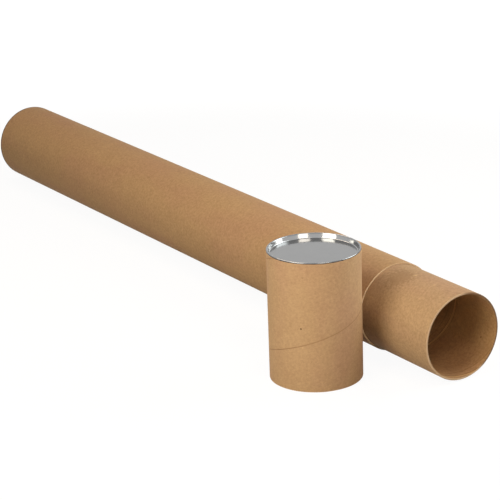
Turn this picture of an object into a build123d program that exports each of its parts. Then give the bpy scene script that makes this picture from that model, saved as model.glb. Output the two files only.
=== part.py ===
from build123d import *
import os

# A telescoping mailing tube of spirally wound board, lying on its side with its cap taken off.
# The long outer tube lies along X and its open mouth looks towards +X.
# An inner sleeve is glued into the outer tube and stands out of it as the neck.
# The cap stands on its open end on the floor beside the neck, with its metal end upwards.
# Both closed ends are pressed metal discs, curled over the edge of the board.
# Units are millimetres, +Z is up, and z = 0 is the floor under tube and cap.
# The origin lies on the floor, under the middle of the whole.

# Inner sleeve
mouth_bore = 101.6
neck_wall = 2.2
neck_length = 125.0
glued_depth = 125.0

# Outer tube
body_length = 948.0
body_wall = 1.9
glue_line = 0.1

# Cap
cap_height = 158.0
cap_wall = 1.9
slip_fit = 0.25

# Open seam between the edges of the cap's outer ply, a right-handed spiral up its outside
seam_pitch = 112.0
seam_width = 0.5
seam_depth = 0.3
seam_foot_angle = 125.6
seam_run_out = 1.0

# Pressed metal ends
sheet = 0.3
board_gap = 0.05
bead_bevel = 0.5
skirt_height = 1.5
skirt_bite = 0.6
neck_in_height = 1.4
wall_lean = 1.0
panel_depth = 5.7
panel_bevel = 1.0

# Where the cap stands beside the tube
cap_gap = 12.3
cap_ahead = 4.3

# Sizes that follow from the ones above
neck_r = mouth_bore / 2 + neck_wall
body_bore_r = neck_r + glue_line
body_r = body_bore_r + body_wall
cap_bore_r = neck_r + slip_fit
cap_r = cap_bore_r + cap_wall
shoulder_x = (body_length - neck_length) / 2
floor_width = 2 * body_r + cap_gap + 2 * cap_r
tube_y = floor_width / 2 - body_r
cap_x = shoulder_x + cap_ahead
cap_y = cap_r - floor_width / 2

# Half sections are drawn with local X as the radius and local Y along the axis,
# which points out through the closed end of the tube or of the cap.
neck_plane = Plane(origin=(shoulder_x, tube_y, body_r), x_dir=(0, 0, -1), z_dir=(0, 1, 0))
bottom_plane = Plane(
    origin=(shoulder_x - body_length, tube_y, body_r), x_dir=(0, 0, -1), z_dir=(0, 1, 0)
)
cap_plane = Plane(origin=(cap_x, cap_y, cap_height), x_dir=(1, 0, 0), z_dir=(0, -1, 0))

# The seam's path runs out below the cap's foot and above its top, so the groove is cut right through.
seam_start_angle = seam_foot_angle - 360 * seam_run_out / seam_pitch
seam_plane = Plane(
    origin=(cap_x, cap_y, -seam_run_out), x_dir=Vector(1, 0, 0).rotate(Axis.Z, seam_start_angle)
)


def own_axis(plane):
    """Axis of the piece whose half section is drawn on a plane."""
    return Axis(plane.origin, plane.y_dir)


def board_section(bore_r, wall, length):
    """Half section of a board tube, its closed edge at y = 0 set in and grooved for the metal."""
    outer_r = bore_r + wall
    edge_y = -(bead_bevel + sheet + board_gap)
    groove_r = outer_r - skirt_bite - board_gap
    with BuildSketch() as section:
        with BuildLine():
            Polyline(
                (bore_r, -length),
                (bore_r, edge_y),
                (outer_r - sheet - board_gap, edge_y),
                (outer_r - sheet - board_gap, sheet + board_gap - skirt_height),
                (groove_r, sheet + board_gap - skirt_height),
                (groove_r, -board_gap - skirt_height),
                (outer_r, -neck_in_height - skirt_height),
                (outer_r, -length),
                close=True,
            )
        make_face()
    return section.sketch


def metal_section(bore_r, wall):
    """Half section of a pressed end: panel, leaning wall, bead over the board, skirt and lip."""
    outer_r = bore_r + wall
    bead_x = bore_r - board_gap - sheet
    foot_x = bead_x - wall_lean
    with BuildSketch() as section:
        with BuildLine():
            Polyline(
                (0, -panel_depth),
                (foot_x - panel_bevel, -panel_depth),
                (foot_x, panel_bevel - panel_depth),
                (bead_x, -bead_bevel),
                (bead_x + bead_bevel, 0),
                (outer_r - bead_bevel, 0),
                (outer_r, -bead_bevel),
                (outer_r, -skirt_height),
                (outer_r - skirt_bite, -skirt_height),
            )
            offset(amount=sheet, side=Side.RIGHT, kind=Kind.INTERSECTION)
        make_face()
    return section.sketch


with BuildPart() as outer_tube:
    with BuildSketch(bottom_plane):
        add(board_section(body_bore_r, body_wall, body_length))
    revolve(axis=own_axis(bottom_plane))
outer_tube.part.label = "outer_tube"

with BuildPart() as neck_tube:
    with BuildSketch(neck_plane):
        with Locations((mouth_bore / 2, -neck_length)):
            Rectangle(neck_wall, neck_length + glued_depth, align=(Align.MIN, Align.MIN))
    revolve(axis=own_axis(neck_plane))
neck_tube.part.label = "neck_tube"

with BuildPart() as bottom_end:
    with BuildSketch(bottom_plane):
        add(metal_section(body_bore_r, body_wall))
    revolve(axis=own_axis(bottom_plane))
bottom_end.part.label = "bottom_end"

with BuildPart() as cap_tube:
    with BuildSketch(cap_plane):
        add(board_section(cap_bore_r, cap_wall, cap_height))
    revolve(axis=own_axis(cap_plane))
    with BuildLine(seam_plane):
        seam = Helix(pitch=seam_pitch, height=cap_height + 2 * seam_run_out, radius=cap_r)
    with BuildSketch(Plane(origin=seam @ 0, x_dir=seam_plane.x_dir, z_dir=seam % 0)):
        Rectangle(2 * seam_depth, seam_width)
    sweep(path=seam, is_frenet=True, mode=Mode.SUBTRACT)
cap_tube.part.label = "cap_tube"

with BuildPart() as cap_end:
    with BuildSketch(cap_plane):
        add(metal_section(cap_bore_r, cap_wall))
    revolve(axis=own_axis(cap_plane))
cap_end.part.label = "cap_end"

os.makedirs("parts", exist_ok=True)
export_step(outer_tube.part, "parts/outer_tube.step")
export_step(neck_tube.part, "parts/neck_tube.step")
export_step(bottom_end.part, "parts/bottom_end.step")
export_step(cap_tube.part, "parts/cap_tube.step")
export_step(cap_end.part, "parts/cap_end.step")
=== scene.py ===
import math

import bmesh
import bpy
from mathutils import Euler, Matrix, Vector, noise


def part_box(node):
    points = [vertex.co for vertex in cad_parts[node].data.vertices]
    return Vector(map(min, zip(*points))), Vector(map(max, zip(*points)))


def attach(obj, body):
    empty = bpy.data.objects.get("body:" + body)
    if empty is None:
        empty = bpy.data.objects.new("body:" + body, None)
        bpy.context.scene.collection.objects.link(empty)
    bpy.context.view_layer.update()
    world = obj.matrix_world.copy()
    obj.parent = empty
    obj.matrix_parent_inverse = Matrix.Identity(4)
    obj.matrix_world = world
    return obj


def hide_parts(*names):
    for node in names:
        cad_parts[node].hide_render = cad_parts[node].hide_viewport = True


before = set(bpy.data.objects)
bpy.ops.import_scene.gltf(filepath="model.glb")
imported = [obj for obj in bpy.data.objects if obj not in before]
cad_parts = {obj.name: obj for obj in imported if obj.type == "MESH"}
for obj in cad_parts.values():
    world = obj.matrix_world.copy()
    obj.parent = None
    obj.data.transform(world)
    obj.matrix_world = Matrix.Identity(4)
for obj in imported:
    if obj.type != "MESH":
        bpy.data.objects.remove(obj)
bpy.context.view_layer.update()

# Camera
# It looks down on the mouth and the cap from the front right, as the photograph does.
# Its place is given from the floor under the shoulder, where the neck leaves the outer tube.
TUBE_LOW, TUBE_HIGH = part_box("outer_tube")
SHOULDER = Vector((TUBE_HIGH.x, (TUBE_LOW.y + TUBE_HIGH.y) / 2, 0.0))
CAMERA_FROM_SHOULDER = Vector((1.7960, -1.3616, 0.9044))
CAMERA_HEADING = 57.26
CAMERA_PITCH = 18.934
CAMERA_ROLL = 1.993
FOCAL_PX = 1995.57
PHOTO_PX = 500
SENSOR_MM = 36.0

camera_data = bpy.data.cameras.new("camera")
camera_data.sensor_width = SENSOR_MM
camera_data.lens = SENSOR_MM * FOCAL_PX / PHOTO_PX
camera = bpy.data.objects.new("camera", camera_data)
camera.matrix_world = (
    Matrix.Translation(SHOULDER + CAMERA_FROM_SHOULDER)
    @ Matrix.Rotation(math.radians(CAMERA_HEADING), 4, "Z")
    @ Matrix.Rotation(math.radians(90 - CAMERA_PITCH), 4, "X")
    @ Matrix.Rotation(math.radians(-CAMERA_ROLL), 4, "Z")
)
bpy.context.collection.objects.link(camera)
bpy.context.scene.camera = camera

# Outer tube
# The long body of the mailer: five plies of brown kraft paper, wound as a spiral on a mandrel with
# glue between them, then sawn to length. The saw cut is paler than the faces, with the plies as rings.
TURN_STEPS = 256
BODY_R = (TUBE_HIGH.z - TUBE_LOW.z) / 2
BODY_WALL = 0.0019
BODY_PLIES = 5
BODY_PITCH = 0.1120
EDGE_ROUND = 0.00025
PLY_GROOVE = 0.00005
SAW_WANDER = 0.00018
ROUND_STEPS = 4
METAL_SHEET = 0.0003
METAL_HEIGHT = 0.0015
METAL_GAP = 0.00005
BEAD_DROP = 0.00085
SAME_POINT = 1e-6
SMOOTH_BELOW = 38
BODY_KRAFT = (0.445, 0.262, 0.122)
BODY_EDGE_KRAFT = (0.90, 0.69, 0.45)
BODY_GRAIN = 1.35

# The saw cut is darker on one side: the strength, the side to which the darkening lies (up, across), and the
# share of the bore where it starts
BODY_DARK_SIDE = (0.5, (1.0, 0.3), 0.65)
DARK_SIDE_FADE = 0.35
DARK_SIDE_LEVEL = 0.17

# Features of the kraft paper: the size of each in metres
CLOUD_SIZE = 0.020
PULP_SIZE = 0.0030
FIBRE_SIZE = 0.00050
STREAK_SIZE = 0.0022
BLUSH_SIZE = 0.060
BARK_SIZE = 0.0011
KNOT_SIZE = 0.0010
TORN_SIZE = 0.0016
TORN_REACH = 0.0022
SEAM_WEAR_SIZE = 0.004
RUB_SIZE = 0.006
FUZZ_HEIGHT = 0.00012
CUT_PULP_SIZE = 0.0006
CUT_FUZZ_HEIGHT = 0.0001

# How long fibres, streaks, specks and knots are drawn out along the winding
FIBRE_DRAWN = 8
STREAK_DRAWN = 60
BARK_DRAWN = 2.2
KNOT_DRAWN = 3

# How far the pinched board is drawn in, and at what depth below the metal's skirt
PINCH = ((0.0, 0.0016), (0.00005, 0.0012), (0.0002, 0.0007), (0.0005, 0.0002))
TUCKED_IN = 0.0006
UNDER_SKIRT = 0.00006
TUBE_PLACE = Matrix.LocRotScale(
    Vector((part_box("bottom_end")[0].x, SHOULDER.y, BODY_R)), Euler((0, -math.pi / 2, 0)), None
)


class Wire:
    """A value on its way between shader nodes. Sums written with it add Math nodes."""

    def __init__(self, tree, socket=None):
        self.tree = tree
        self.socket = socket

    def node(self, kind, settings, sockets, output=0):
        made = self.tree.nodes.new(kind)
        for name, value in settings.items():
            setattr(made, name, value)
        for name, value in sockets.items():
            if isinstance(value, Wire):
                self.tree.links.new(value.socket, made.inputs[name])
            else:
                made.inputs[name].default_value = value
        return Wire(self.tree, made.outputs[output])

    def maths(self, operation, *values):
        return self.node("ShaderNodeMath", {"operation": operation}, dict(enumerate(values)))

    def __add__(self, other):
        return self.maths("ADD", self, other)

    def __sub__(self, other):
        return self.maths("SUBTRACT", self, other)

    def __rsub__(self, other):
        return self.maths("SUBTRACT", other, self)

    def __mul__(self, other):
        return self.maths("MULTIPLY", self, other)

    def __truediv__(self, other):
        return self.maths("DIVIDE", self, other)

    __radd__ = __add__
    __rmul__ = __mul__

    def rise(self, low, high):
        """0 below low, 1 above high and a smooth step between; low may be the greater one."""
        return self.node(
            "ShaderNodeMapRange",
            {"interpolation_type": "SMOOTHSTEP"},
            {"Value": self, "From Min": low, "From Max": high},
        )

    def mottle(self, place, size, detail=2.0, rough=0.5):
        """Soft noise from 0 to 1, with spots of about a given size in metres."""
        return self.node(
            "ShaderNodeTexNoise",
            {},
            {"Vector": place, "Scale": 1 / size, "Detail": detail, "Roughness": rough},
        )

    def vector(self, x, y, z):
        return self.node("ShaderNodeCombineXYZ", {}, {"X": x, "Y": y, "Z": z})

    def tint(self, factor, below, above):
        """Colour mixed from one to another by a factor."""
        return self.node(
            "ShaderNodeMix",
            {"data_type": "RGBA"},
            {"Factor": factor, "A": below, "B": above},
            output="Result",
        )


def opaque(colour):
    return (*colour, 1.0)


def shaded(colour, level):
    """A colour at another level. Darker it is also redder, and paler it is also greyer."""
    return tuple(part * level ** (1.3 - part) for part in colour)


def own_place(wires, placed):
    """Object coordinates turned into a piece's own, with its axis as Z."""
    row = wires.node("ShaderNodeTexCoord", {}, {}, output="Object")
    return wires.node(
        "ShaderNodeMapping",
        {"vector_type": "TEXTURE"},
        {"Vector": row, "Location": placed.to_translation(), "Rotation": placed.to_euler()},
    )


def kraft_face(name, colour, placed, radius, pitch, seam_z, foot, grain, seams=(), marks=()):
    """Uncoated kraft on a wound ply: cloudy pulp, fibres along the winding, bark specks, worn seams darkened
    with painted shade in their gaps.
    """
    material = bpy.data.materials.new(name)
    material.use_nodes = True
    shader = material.node_tree.nodes["Principled BSDF"]
    wires = Wire(material.node_tree)
    place = own_place(wires, placed)
    x, y, z = (wires.node("ShaderNodeSeparateXYZ", {}, {"Vector": place}, output=k) for k in range(3))

    # The ply unrolled: how far along its strip a point lies, and how far across it
    girth = 2 * math.pi * radius
    lay = math.atan2(pitch, girth)
    turns = wires.maths("ARCTAN2", y, x) / (2 * math.pi)
    rise = (z - seam_z) / pitch - turns
    strip = wires.maths("FLOOR", rise)
    across = (rise - strip) * (pitch * math.cos(lay))
    along = (turns + strip) * (girth * math.cos(lay)) + z * math.sin(lay)

    clouds = wires.mottle(place, CLOUD_SIZE, 3.0) - 0.5
    pulp = (wires.mottle(place, PULP_SIZE, 4.0, 0.65) - 0.5) * grain
    fibres = wires.mottle(wires.vector(along / FIBRE_DRAWN, across, radius), FIBRE_SIZE, 3.0, 0.6) - 0.5
    streaks = wires.mottle(wires.vector(along / STREAK_DRAWN, across, radius), STREAK_SIZE, 2.0) - 0.5
    tone = clouds * 0.14 + pulp * 0.62 + fibres * 0.36 + streaks * 0.12 + 0.5

    # Broad patches of the paper are a little redder than the rest
    yellower = wires.tint(tone, opaque(shaded(colour, 0.50)), opaque(shaded(colour, 1.50)))
    warm = (colour[0], colour[1] * 0.95, colour[2] * 1.03)
    redder = wires.tint(tone, opaque(shaded(warm, 0.49)), opaque(shaded(warm, 1.47)))
    blush = wires.mottle(wires.vector(x, y, z / 2.5), BLUSH_SIZE, 2.0).rise(0.38, 0.66)
    face = wires.tint(blush, yellower, redder)

    # Dark bark specks, pale fibre knots, and paper scuffed pale along the sawn edge
    bark = wires.mottle(wires.vector(along / BARK_DRAWN, across, radius), BARK_SIZE, 1.0).rise(0.735, 0.79)
    face = wires.tint(bark * 0.50, face, opaque(shaded(colour, 0.30)))
    elsewhere = wires.vector(along / KNOT_DRAWN, across + 0.3, radius)
    knots = wires.mottle(elsewhere, KNOT_SIZE, 1.0).rise(0.755, 0.80)
    face = wires.tint(knots * 0.35, face, opaque(shaded(colour, 1.7)))
    scuff = (z - foot - wires.mottle(place, TORN_SIZE, 3.0) * TORN_REACH).rise(-0.0001, -0.0008)
    face = wires.tint(scuff * 0.7, face, opaque(shaded(colour, 1.5)))

    # Each seam is a band of a width and level at its place across the strip; its dark bands are painted shade
    # in the seam's gap and crease, with some glue and dirt
    for offset, width, level, strength in seams:
        shift = wires.maths("FRACT", rise + (0.5 - offset / pitch)) - 0.5
        apart = wires.maths("ABSOLUTE", shift) * pitch
        worn = wires.mottle(place, SEAM_WEAR_SIZE, 2.0) * 0.5 + 0.75
        band = apart.rise(width / 2 + 0.0003, width / 2) * strength * worn
        face = wires.tint(band, face, opaque(shaded(colour, level)))

    # Each mark is a speck, smear or stain, or a painted shadow, of a size and level at its own place
    for centre, size, level, strength in marks:
        apart = wires.node(
            "ShaderNodeVectorMath", {"operation": "DISTANCE"}, {0: place, 1: centre}, output="Value"
        )
        ragged = apart + pulp * size
        face = wires.tint(ragged.rise(size, size * 0.4) * strength, face, opaque(shaded(colour, level)))
    wires.tree.links.new(face.socket, shader.inputs["Base Color"])

    wear = wires.mottle(place, RUB_SIZE, 2.0)
    wires.tree.links.new((wear * 0.16 + 0.70).socket, shader.inputs["Roughness"])
    shader.inputs["Specular IOR Level"].default_value = 0.30
    fuzz = wires.node(
        "ShaderNodeBump",
        {},
        {"Strength": 0.6, "Distance": FUZZ_HEIGHT, "Height": pulp * 0.8 + fibres * 0.8 + bark * 0.2},
        output="Normal",
    )
    wires.tree.links.new(fuzz.socket, shader.inputs["Normal"])
    return material


def saw_cut(name, colour, placed, bore_r, wall, plies, darkening, darker_side, darkening_start):
    """The sawn edge of the board: pale torn pulp, dark glue lines, and a stretch darker towards one side."""
    material = bpy.data.materials.new(name)
    material.use_nodes = True
    shader = material.node_tree.nodes["Principled BSDF"]
    wires = Wire(material.node_tree)
    place = own_place(wires, placed)
    x, y, z = (wires.node("ShaderNodeSeparateXYZ", {}, {"Vector": place}, output=k) for k in range(3))
    radius = wires.maths("SQRT", x * x + y * y)
    ply = wires.maths("FRACT", (radius - bore_r) / (wall / plies))
    glue = wires.maths("ABSOLUTE", ply - 0.5).rise(0.36, 0.48)
    pulp = wires.mottle(place, CUT_PULP_SIZE, 3.0, 0.6) - 0.5
    face = wires.tint(pulp * 0.5 + 0.5, opaque(shaded(colour, 0.75)), opaque(shaded(colour, 1.25)))
    face = wires.tint(glue * 0.45, face, opaque(shaded(colour, 0.5)))
    # A stretch of the cut is darkened towards one side, fading in from a share of the bore
    reach = x * (darker_side[0] / bore_r) + y * (darker_side[1] / bore_r) + pulp * 0.2
    darkened = reach.rise(darkening_start, darkening_start + DARK_SIDE_FADE) * darkening
    face = wires.tint(darkened, face, opaque(shaded(colour, DARK_SIDE_LEVEL)))
    wires.tree.links.new(face.socket, shader.inputs["Base Color"])
    shader.inputs["Roughness"].default_value = 0.92
    shader.inputs["Specular IOR Level"].default_value = 0.2
    fuzz = wires.node(
        "ShaderNodeBump", {}, {"Strength": 0.8, "Distance": CUT_FUZZ_HEIGHT, "Height": pulp}, output="Normal"
    )
    wires.tree.links.new(fuzz.socket, shader.inputs["Normal"])
    return material


def wound_wall(mesh, radius, low, high, pitch, seam_z, grooves, inward):
    """One face of the board, spun in a spiral with its grooves and cut off at both heights."""
    line = []
    for offset, width, depth in grooves:
        flank = depth / 2
        bottom = radius - depth * inward
        line += [
            (radius, offset - width / 2 - flank),
            (bottom, offset - width / 2),
            (bottom, offset + width / 2),
            (radius, offset + width / 2 + flank),
        ]
    line.append((line[0][0], line[0][1] + pitch))
    start = seam_z + pitch * (math.floor((low - seam_z) / pitch) - 1)
    verts = [mesh.verts.new((r, 0, start + z)) for r, z in line]
    edges = [mesh.edges.new(pair) for pair in zip(verts, verts[1:])]
    bmesh.ops.spin(
        mesh,
        geom=verts + edges,
        cent=(0, 0, 0),
        axis=(0, 0, 1),
        dvec=(0, 0, pitch / TURN_STEPS),
        angle=2 * math.pi,
        steps=TURN_STEPS,
    )
    turn = mesh.verts[:] + mesh.edges[:] + mesh.faces[:]
    for number in range(1, math.ceil((high - start) / pitch) + 1):
        more = bmesh.ops.duplicate(mesh, geom=turn)["geom"]
        moved = [part for part in more if isinstance(part, bmesh.types.BMVert)]
        bmesh.ops.translate(mesh, verts=moved, vec=(0, 0, number * pitch))
    bmesh.ops.remove_doubles(mesh, verts=mesh.verts, dist=SAME_POINT)
    for height, outwards in ((low, -1), (high, 1)):
        bmesh.ops.bisect_plane(
            mesh,
            geom=mesh.verts[:] + mesh.edges[:] + mesh.faces[:],
            dist=SAME_POINT / 10,
            plane_co=(0, 0, height),
            plane_no=(0, 0, outwards),
            clear_outer=True,
        )


def plain_wall(mesh, line):
    """A face of the board that shows no seam, spun from a line of radius and height."""
    verts = [mesh.verts.new((r, 0, z)) for r, z in line]
    edges = [mesh.edges.new(pair) for pair in zip(verts, verts[1:])]
    bmesh.ops.spin(
        mesh,
        geom=verts + edges,
        cent=(0, 0, 0),
        axis=(0, 0, 1),
        angle=2 * math.pi,
        steps=TURN_STEPS,
        use_merge=True,
    )
    pole = [v for v in mesh.verts if v.co.xy.length < SAME_POINT / 10]
    bmesh.ops.remove_doubles(mesh, verts=pole, dist=SAME_POINT)


def open_loop(mesh, height):
    """The open edges of a wall's mesh at a height."""
    return [
        edge
        for edge in mesh.edges
        if len(edge.link_faces) == 1 and all(abs(v.co.z - height) < SAME_POINT for v in edge.verts)
    ]


def carried_on(mesh, loop, line, pull, material_index=0):
    """Extrudes an open loop along a line of radius and height; pull keeps the lesser or greater radius."""
    for radius, height in line:
        made = bmesh.ops.extrude_edge_only(mesh, edges=loop)["geom"]
        for face in (part for part in made if isinstance(part, bmesh.types.BMFace)):
            face.material_index = material_index
        ring = {part for part in made if isinstance(part, bmesh.types.BMVert)}
        for vert in ring:
            reach = vert.co.xy.length
            vert.co.xy *= pull(reach, radius) / reach
            vert.co.z = height
        loop = [part for part in made if isinstance(part, bmesh.types.BMEdge) and ring.issuperset(part.verts)]
    return loop


def round_over(radius, foot, side, size):
    """Points of the round between a wall and its cut edge, from the wall to the edge."""
    points = []
    for step in range(1, ROUND_STEPS + 1):
        turn = math.pi / 2 * step / ROUND_STEPS
        points.append((radius - side * size * (1 - math.cos(turn)), foot + size * (1 - math.sin(turn))))
    return points


def sawn_edge(mesh, bore_r, outer_r, foot, plies, outer_round):
    """Closes the foot of a board tube with its cut edge, in which each glue line is a fine groove."""
    middle_r = (bore_r + outer_r) / 2
    outside = [e for e in open_loop(mesh, foot + outer_round) if e.verts[0].co.xy.length > middle_r]
    inside = [e for e in open_loop(mesh, foot + EDGE_ROUND) if e.verts[0].co.xy.length < middle_r]
    outside = carried_on(mesh, outside, round_over(outer_r, foot, 1, outer_round), min, 1)
    inside = carried_on(mesh, inside, round_over(bore_r, foot, -1, EDGE_ROUND), max, 1)
    ply = (outer_r - bore_r) / plies
    rings = []
    for glue_line in range(plies - 1, 0, -1):
        middle = bore_r + glue_line * ply
        if middle + PLY_GROOVE < outer_r - outer_round:
            rings += [(middle + PLY_GROOVE, foot), (middle, foot + PLY_GROOVE), (middle - PLY_GROOVE, foot)]
    outside = carried_on(mesh, outside, rings, min, 1)
    made = bmesh.ops.triangle_fill(mesh, edges=outside + inside, use_beauty=True, normal=(0, 0, -1))["geom"]
    for face in (part for part in made if isinstance(part, bmesh.types.BMFace)):
        face.material_index = 1


def board_piece(name, mesh, placed, foot, materials):
    """Finishes a board tube: the saw's slight wander at its foot, outward faces, and its place."""
    for vert in mesh.verts:
        if vert.co.z < foot + 3 * EDGE_ROUND:
            side = vert.co.xy.normalized()
            wander = noise.noise(Vector((side.x * 3, side.y * 3, foot * 50)))
            vert.co.z += SAW_WANDER * max(0.0, 0.5 + wander)
    return finished(name, mesh, placed, materials)


def finished(name, mesh, placed, materials):
    """Turns a closed mesh into a piece in its place, smooth apart from its sharp edges."""
    bmesh.ops.recalc_face_normals(mesh, faces=mesh.faces)
    bmesh.ops.transform(mesh, matrix=placed, verts=mesh.verts)
    for face in mesh.faces:
        face.smooth = True
    data = bpy.data.meshes.new(name)
    mesh.to_mesh(data)
    mesh.free()
    data.set_sharp_from_angle(angle=math.radians(SMOOTH_BELOW))
    for material in materials:
        data.materials.append(material)
    piece = bpy.data.objects.new(name, data)
    bpy.context.collection.objects.link(piece)
    return piece


def under_the_skirt(outer_r):
    """The board's face where it is pinched in under the curled edge of the metal end."""
    tucked_r = outer_r - TUCKED_IN
    inner_r = outer_r - METAL_SHEET - UNDER_SKIRT
    return [
        *[(outer_r - drawn_in, -METAL_HEIGHT - below) for drawn_in, below in PINCH],
        (tucked_r, -METAL_HEIGHT - METAL_GAP),
        (tucked_r, METAL_SHEET + METAL_GAP - METAL_HEIGHT),
        (inner_r, METAL_SHEET + METAL_GAP - METAL_HEIGHT),
        (inner_r, -BEAD_DROP),
    ]


BODY_FOOT = TUBE_PLACE.to_translation().x - TUBE_HIGH.x
body = bmesh.new()
plain_wall(
    body,
    [
        (BODY_R, BODY_FOOT + EDGE_ROUND),
        *under_the_skirt(BODY_R),
        (BODY_R - BODY_WALL, -BEAD_DROP),
        (BODY_R - BODY_WALL, BODY_FOOT + EDGE_ROUND),
    ],
)
sawn_edge(body, BODY_R - BODY_WALL, BODY_R, BODY_FOOT, BODY_PLIES, EDGE_ROUND)
body_board = board_piece(
    "body_board",
    body,
    TUBE_PLACE,
    BODY_FOOT,
    [
        kraft_face("body_kraft", BODY_KRAFT, TUBE_PLACE, BODY_R, BODY_PITCH, 0.0, BODY_FOOT, BODY_GRAIN),
        saw_cut(
            "body_saw_cut",
            BODY_EDGE_KRAFT,
            TUBE_PLACE,
            BODY_R - BODY_WALL,
            BODY_WALL,
            BODY_PLIES,
            *BODY_DARK_SIDE,
        ),
    ],
)
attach(body_board, "tube")
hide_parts("outer_tube")

# Neck
# A second, narrower tube of the same board, glued half its length into the outer tube. The cap slips
# over the half that stands out. Inside, the edges of its inner ply stay a little apart as a spiral gap.
NECK_LOW, NECK_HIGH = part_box("neck_tube")
NECK_R = (NECK_HIGH.z - NECK_LOW.z) / 2
NECK_WALL = 0.0022
NECK_PLIES = 6
NECK_PITCH = 0.0960
NECK_SEAM_Z = -0.07123
MOUTH_ROUND = 0.0007
INNER_GAP = (0.0, 0.0040, 0.00028)
INNER_CREASE = (0.0110, 0.0010, 0.00010)
NECK_KRAFT = (0.424, 0.261, 0.131)
NECK_INSIDE_KRAFT = (0.445, 0.245, 0.098)
NECK_EDGE_KRAFT = (0.58, 0.40, 0.245)
NECK_GRAIN = 1.5
NECK_INSIDE_GRAIN = 1.6
NECK_DARK_SIDE = (0.85, (0.25, 1.0), 0.15)

# Seams: place across the strip, width, level and strength. Marks: place, size, level and strength.
# Inside, a pale band where the ply's edges stay apart, with dark lines at its edges and along the crease that
# are painted shade
INSIDE_SEAMS = (
    (0.0, 0.0038, 1.40, 0.70),
    (0.0023, 0.0005, 0.45, 0.75),
    (-0.0023, 0.0005, 0.45, 0.75),
    (0.0110, 0.0008, 0.55, 0.60),
)
INSIDE_MARKS = (((-0.0192, 0.0470, -0.1014), 0.0018, 0.35, 0.9),)
NECK_MARKS = (
    ((0.0528, -0.0046, -0.0423), 0.0034, 1.50, 0.85),
    ((0.0526, -0.0068, -0.0815), 0.0024, 1.35, 0.70),
    # The third neck mark is a painted shadow: the cap's shadow, dark on the neck in front of the shoulder
    ((0.0502, -0.0171, -0.0297), 0.0240, 0.66, 0.60),
)
NECK_PLACE = Matrix.LocRotScale(
    Vector((SHOULDER.x, SHOULDER.y, BODY_R)), Euler((0, -math.pi / 2, 0)), None
)

neck_foot = SHOULDER.x - NECK_HIGH.x
neck_top = SHOULDER.x - NECK_LOW.x
neck = bmesh.new()
wound_wall(
    neck,
    NECK_R - NECK_WALL,
    neck_foot + EDGE_ROUND,
    neck_top,
    NECK_PITCH,
    NECK_SEAM_Z,
    [INNER_GAP, INNER_CREASE],
    -1,
)
for face in neck.faces:
    face.material_index = 2
plain_wall(neck, [(NECK_R, neck_foot + MOUTH_ROUND), (NECK_R, neck_top)])
bmesh.ops.triangle_fill(neck, edges=open_loop(neck, neck_top), use_beauty=True, normal=(0, 0, 1))
sawn_edge(neck, NECK_R - NECK_WALL, NECK_R, neck_foot, NECK_PLIES, MOUTH_ROUND)
neck_board = board_piece(
    "neck_board",
    neck,
    NECK_PLACE,
    neck_foot,
    [
        kraft_face(
            "neck_kraft",
            NECK_KRAFT,
            NECK_PLACE,
            NECK_R,
            NECK_PITCH,
            0.0,
            neck_foot,
            NECK_GRAIN,
            marks=NECK_MARKS,
        ),
        saw_cut(
            "neck_saw_cut",
            NECK_EDGE_KRAFT,
            NECK_PLACE,
            NECK_R - NECK_WALL,
            NECK_WALL,
            NECK_PLIES,
            *NECK_DARK_SIDE,
        ),
        kraft_face(
            "neck_inside_kraft",
            NECK_INSIDE_KRAFT,
            NECK_PLACE,
            NECK_R - NECK_WALL,
            NECK_PITCH,
            NECK_SEAM_Z,
            neck_foot,
            NECK_INSIDE_GRAIN,
            INSIDE_SEAMS,
            INSIDE_MARKS,
        ),
    ],
)
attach(neck_board, "tube")
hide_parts("neck_tube")

# Cap board
# The short tube of the cap, wound of the same kraft on a slightly larger mandrel.
# Its outer ply was laid with its edges a little apart, so a thin spiral groove runs up its outside.
CAP_LOW, CAP_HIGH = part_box("cap_end")
CAP_R = (CAP_HIGH.x - CAP_LOW.x) / 2
CAP_WALL = 0.0019
CAP_PLIES = 5
CAP_PITCH = 0.1120
CAP_SEAM_FOOT_ANGLE = 125.6
OUTER_GAP = (0.0, 0.0005, 0.0003)
CAP_KRAFT = (0.494, 0.302, 0.152)
# Outside, a soft dark band and a thin dark line along the groove: painted shade in the gap, with some glue
# and dirt
OUTER_SEAMS = ((0.0, 0.0016, 0.80, 0.30), (0.0, 0.0005, 0.45, 0.50))
CAP_MARKS = (
    ((0.0339, -0.0435, -0.0801), 0.0017, 0.12, 1.0),
    ((0.0361, -0.0417, -0.0180), 0.0013, 0.50, 0.5),
    ((0.0349, -0.0427, -0.1033), 0.0011, 1.50, 0.6),
)
CAP_EDGE_KRAFT = (0.76, 0.56, 0.40)
CAP_GRAIN = 1.0
CAP_INSIDE_GRAIN = 1.5
CAP_DARK_SIDE = (0.5, (0.0, 1.0), 0.5)
CAP_PLACE = Matrix.Translation(
    ((CAP_LOW.x + CAP_HIGH.x) / 2, (CAP_LOW.y + CAP_HIGH.y) / 2, CAP_HIGH.z)
)

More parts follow.
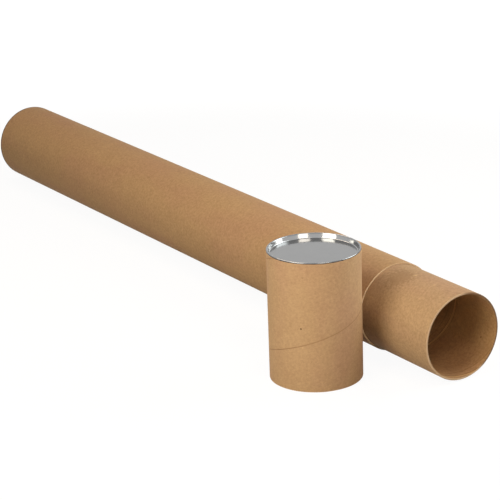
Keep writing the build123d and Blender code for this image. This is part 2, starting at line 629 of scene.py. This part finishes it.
cap_foot = -CAP_HIGH.z
cap_seam_z = cap_foot - CAP_PITCH * CAP_SEAM_FOOT_ANGLE / 360
tuck = under_the_skirt(CAP_R)
cap = bmesh.new()
wound_wall(cap, CAP_R, cap_foot + EDGE_ROUND, tuck[0][1], CAP_PITCH, cap_seam_z, [OUTER_GAP], 1)
carried_on(cap, open_loop(cap, tuck[0][1]), tuck[1:], min)
outside_faces = set(cap.faces)
plain_wall(cap, [(CAP_R - CAP_WALL, cap_foot + EDGE_ROUND), (CAP_R - CAP_WALL, -BEAD_DROP)])
for face in cap.faces:
    if face not in outside_faces:
        face.material_index = 2
bmesh.ops.triangle_fill(cap, edges=open_loop(cap, -BEAD_DROP), use_beauty=True, normal=(0, 0, 1))
sawn_edge(cap, CAP_R - CAP_WALL, CAP_R, cap_foot, CAP_PLIES, EDGE_ROUND)
cap_board = board_piece(
    "cap_board",
    cap,
    CAP_PLACE,
    cap_foot,
    [
        kraft_face(
            "cap_kraft",
            CAP_KRAFT,
            CAP_PLACE,
            CAP_R,
            CAP_PITCH,
            cap_seam_z,
            cap_foot,
            CAP_GRAIN,
            OUTER_SEAMS,
            CAP_MARKS,
        ),
        saw_cut(
            "cap_saw_cut",
            CAP_EDGE_KRAFT,
            CAP_PLACE,
            CAP_R - CAP_WALL,
            CAP_WALL,
            CAP_PLIES,
            *CAP_DARK_SIDE,
        ),
        kraft_face(
            "cap_inside_kraft",
            CAP_KRAFT,
            CAP_PLACE,
            CAP_R - CAP_WALL,
            CAP_PITCH,
            0.0,
            cap_foot,
            CAP_INSIDE_GRAIN,
        ),
    ],
)
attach(cap_board, "cap")
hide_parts("cap_tube")

# Metal ends
# Both closed ends are discs pressed from thin bright tinplate: a sunk flat panel and a leaning wall,
# rolled over the edge of the board as a round bead and curled into it outside.
TINPLATE = (0.262, 0.262, 0.26)
WALL_LEAN = 0.0010
WALL_TILT = 14
PANEL_DEPTH = 0.0057
COVE_RADIUS = 0.0011
SKIRT_CURL = 0.0003
PANEL_CROWN = 0.00006

# The panel's slight crown: a share of its radius, and the share of the crown's height there
CROWN_LINE = ((0.0, 1.0), (0.4, 0.8), (0.8, 0.25))

# Where the metal's parts begin and are fully reached, in metres inwards from its outer radius
PANEL_BAND = (0.0048, 0.0054)
WALL_FOOT_BAND = (0.0046, 0.0040)
WALL_TOP_BAND = (0.0020, 0.0026)
OUTSIDE_BAND = (0.0011, 0.0006)

# Where the skirt turns dull and is painted dark as shade and a dark reflection under the curl, in metres up
# from the top of the bead
DULL_AND_SHADE_BAND = (-0.0004, -0.0008)
ROLLED_GRAIN_SIZE = 0.0004
BLOOM_SIZE = 0.014
SCRATCH_SIZE = 0.0006
RIPPLE_SIZE = 0.016
RIPPLE_HEIGHT = 0.0006


def arc(centre, radius, start, end, steps):
    """Points of an arc in the half section, by its angles in degrees from the outward radius."""
    angles = [math.radians(start + (end - start) * step / steps) for step in range(steps + 1)]
    return [(centre[0] + radius * math.cos(a), centre[1] + radius * math.sin(a)) for a in angles]


def tinplate(name, placed, outer_r):
    """Bright tinplate: fine rolled grain one way, light scratches, and dull where it is curled, with painted
    shade and a painted dark reflection there.
    """
    material = bpy.data.materials.new(name)
    material.use_nodes = True
    shader = material.node_tree.nodes["Principled BSDF"]
    wires = Wire(material.node_tree)
    place = own_place(wires, placed)
    x, y, z = (wires.node("ShaderNodeSeparateXYZ", {}, {"Vector": place}, output=k) for k in range(3))
    grain = wires.mottle(wires.vector(x / 40, y, z), ROLLED_GRAIN_SIZE, 2.0) - 0.5
    bloom = wires.mottle(place, BLOOM_SIZE, 3.0) - 0.5
    radius = wires.maths("SQRT", x * x + y * y)
    panel, foot, top, outside = (
        radius.rise(outer_r - start, outer_r - full)
        for start, full in (PANEL_BAND, WALL_FOOT_BAND, WALL_TOP_BAND, OUTSIDE_BAND)
    )
    face = wires.tint(
        grain * 0.10 + bloom * 0.25 + 0.5, opaque(shaded(TINPLATE, 0.85)), opaque(shaded(TINPLATE, 1.15))
    )
    scratch = wires.mottle(wires.vector(x / 30 + y / 9, y, 0.0), SCRATCH_SIZE, 1.0).rise(0.72, 0.76) * panel
    face = wires.tint(scratch * 0.12, face, opaque(shaded(TINPLATE, 1.6)))
    face = wires.tint(foot * top * 0.35, face, opaque(shaded(TINPLATE, 2.0)))
    # Painted shade and dark reflection on the curled skirt, which is also rougher as dull metal
    dull_and_painted_shade = outside * (z + bloom * 0.0003).rise(*DULL_AND_SHADE_BAND)
    face = wires.tint(dull_and_painted_shade * 0.9, face, opaque(shaded(TINPLATE, 0.10)))
    wires.tree.links.new(face.socket, shader.inputs["Base Color"])
    shader.inputs["Metallic"].default_value = 1.0
    wires.tree.links.new(
        (grain * 0.02 + bloom * 0.05 + scratch * 0.05 + dull_and_painted_shade * 0.25 + 0.13).socket, shader.inputs["Roughness"]
    )
    ripple = wires.node(
        "ShaderNodeBump",
        {},
        {"Strength": 0.03, "Distance": RIPPLE_HEIGHT, "Height": wires.mottle(place, RIPPLE_SIZE, 1.0)},
        output="Normal",
    )
    wires.tree.links.new(ripple.socket, shader.inputs["Normal"])
    return material


def pressed_end(name, placed, outer_r, board_wall, body_name, node_name):
    """One metal end, spun from its half section with its sheet thickness, and curled over the board."""
    bead_r = (board_wall + METAL_SHEET + METAL_GAP) / 2
    bead_centre = (outer_r - bead_r, -bead_r)
    wall_foot_r = outer_r - 2 * bead_r - WALL_LEAN
    cove_r = wall_foot_r - COVE_RADIUS
    line = [
        *[(cove_r * share, PANEL_CROWN * crown - PANEL_DEPTH) for share, crown in CROWN_LINE],
        *arc((cove_r, COVE_RADIUS - PANEL_DEPTH), COVE_RADIUS, -90, -WALL_TILT, 8),
        *arc(bead_centre, bead_r, 180 - WALL_TILT, 0, 16),
        (outer_r, SKIRT_CURL - METAL_HEIGHT),
        *arc((outer_r - SKIRT_CURL, SKIRT_CURL - METAL_HEIGHT), SKIRT_CURL, -20, -90, 5),
    ]
    mesh = bmesh.new()
    plain_wall(mesh, line)
    bmesh.ops.recalc_face_normals(mesh, faces=mesh.faces)
    bmesh.ops.solidify(mesh, geom=mesh.faces, thickness=METAL_SHEET)
    piece = finished(name, mesh, placed, [tinplate(name + "_tinplate", placed, outer_r)])
    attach(piece, body_name)
    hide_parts(node_name)


pressed_end("cap_metal", CAP_PLACE, CAP_R, CAP_WALL, "cap", "cap_end")
pressed_end("bottom_metal", TUBE_PLACE, BODY_R, BODY_WALL, "tube", "bottom_end")

# Floor
# A plain white sweep under the tube. It is bright enough to read as white in the picture and keeps a
# faint shadow near the tube, while the light that it throws back up is that of a pale floor.
FLOOR_HALF = 6.0
FLOOR_PALE = (0.44, 0.41, 0.37)
FLOOR_CLOUD_SIZE = 0.3
SEEN_WHITE = 0.84
GLOW = 1.12
SHADOW_REACH = 0.70
floor_mesh = bmesh.new()
bmesh.ops.create_grid(floor_mesh, x_segments=1, y_segments=1, size=FLOOR_HALF)
floor_data = bpy.data.meshes.new("floor")
floor_mesh.to_mesh(floor_data)
floor_mesh.free()
floor = bpy.data.objects.new("floor", floor_data)
bpy.context.collection.objects.link(floor)

floor_material = bpy.data.materials.new("floor_white")
floor_material.use_nodes = True
floor_shader = floor_material.node_tree.nodes["Principled BSDF"]
floor_wires = Wire(floor_material.node_tree)


def seen_directly(wires):
    """1 for what the camera sees by itself or by a reflection, 0 for light thrown on to others."""
    rays = [
        wires.node("ShaderNodeLightPath", {}, {}, output=name)
        for name in ("Is Camera Ray", "Is Glossy Ray", "Is Transmission Ray")
    ]
    return wires.maths("MINIMUM", rays[0] + rays[1] + rays[2], 1.0)


floor_place = floor_wires.node("ShaderNodeTexCoord", {}, {}, output="Object")
floor_tone = floor_wires.tint(
    floor_wires.mottle(floor_place, FLOOR_CLOUD_SIZE),
    opaque(shaded(FLOOR_PALE, 0.97)),
    opaque(shaded(FLOOR_PALE, 1.03)),
)
floor_wires.tree.links.new(floor_tone.socket, floor_shader.inputs["Base Color"])
floor_shader.inputs["Roughness"].default_value = 0.9
floor_away = floor_wires.node(
    "ShaderNodeVectorMath", {"operation": "LENGTH"}, {0: floor_place}, output="Value"
)
floor_bright = floor_away.rise(SHADOW_REACH, 2 * SHADOW_REACH) * (1 - SEEN_WHITE) + SEEN_WHITE
floor_glow = floor_wires.node("ShaderNodeEmission", {}, {"Color": (1, 1, 1, 1), "Strength": GLOW})
floor_mix = floor_wires.node(
    "ShaderNodeMixShader", {}, {0: seen_directly(floor_wires) * floor_bright, 2: floor_glow}
)
floor_wires.tree.links.new(floor_shader.outputs[0], floor_mix.socket.node.inputs[1])
floor_wires.tree.links.new(
    floor_mix.socket, floor_material.node_tree.nodes["Material Output"].inputs["Surface"]
)
floor_data.materials.append(floor_material)

# Studio light
# Warm soft boxes stand in front and beyond both ends of the tube, and a cooler one behind it, in a white
# room. The high ones in front and before the mouth light the cap's metal from above.
FILL = 0.01
LIGHT_AIM = Vector((0.40, 0.0, 0.08))
world = bpy.data.worlds.new("room")
bpy.context.scene.world = world
world.use_nodes = True
room_wires = Wire(world.node_tree)
room = world.node_tree.nodes["Background"]
room.inputs["Color"].default_value = (1, 1, 1, 1)
room_seen = seen_directly(room_wires)
room_wires.tree.links.new((room_seen * (1 - FILL) + FILL).socket, room.inputs["Strength"])


def soft_box(name, azimuth, elevation, distance, wide, tall, watts, colour):
    """An upright soft box, aimed at the cap from an azimuth and an elevation in degrees."""
    lamp = bpy.data.lights.new(name, "AREA")
    lamp.shape = "RECTANGLE"
    lamp.size = wide
    lamp.size_y = tall
    lamp.energy = watts
    lamp.color = colour
    light = bpy.data.objects.new(name, lamp)
    light.visible_camera = False
    bpy.context.collection.objects.link(light)
    a = math.radians(azimuth)
    e = math.radians(elevation)
    away = Vector((math.cos(a) * math.cos(e), math.sin(a) * math.cos(e), math.sin(e)))
    light.location = LIGHT_AIM + away * distance
    light.rotation_mode = "QUATERNION"
    light.rotation_quaternion = away.to_track_quat("Z", "Y")


soft_box("front_box", -77, 20, 1.4, 0.74, 0.55, 10.4, (1.0, 0.95, 0.84))
soft_box("front_high_box", -86, 53, 1.4, 0.56, 0.34, 4.9, (1.0, 0.95, 0.84))
soft_box("mouth_box", -10, 22, 1.8, 0.70, 0.75, 6.6, (1.0, 0.90, 0.76))
soft_box("mouth_high_box", -7, 54, 1.8, 0.66, 0.40, 5.6, (1.0, 0.92, 0.82))
soft_box("back_box", 69, 29, 1.1, 0.75, 0.9, 10.8, (0.90, 0.96, 0.98))
soft_box("end_box", 180, 56, 1.8, 0.8, 0.8, 8.4, (1.0, 0.82, 0.65))

bpy.context.scene.view_settings.view_transform = "Standard"
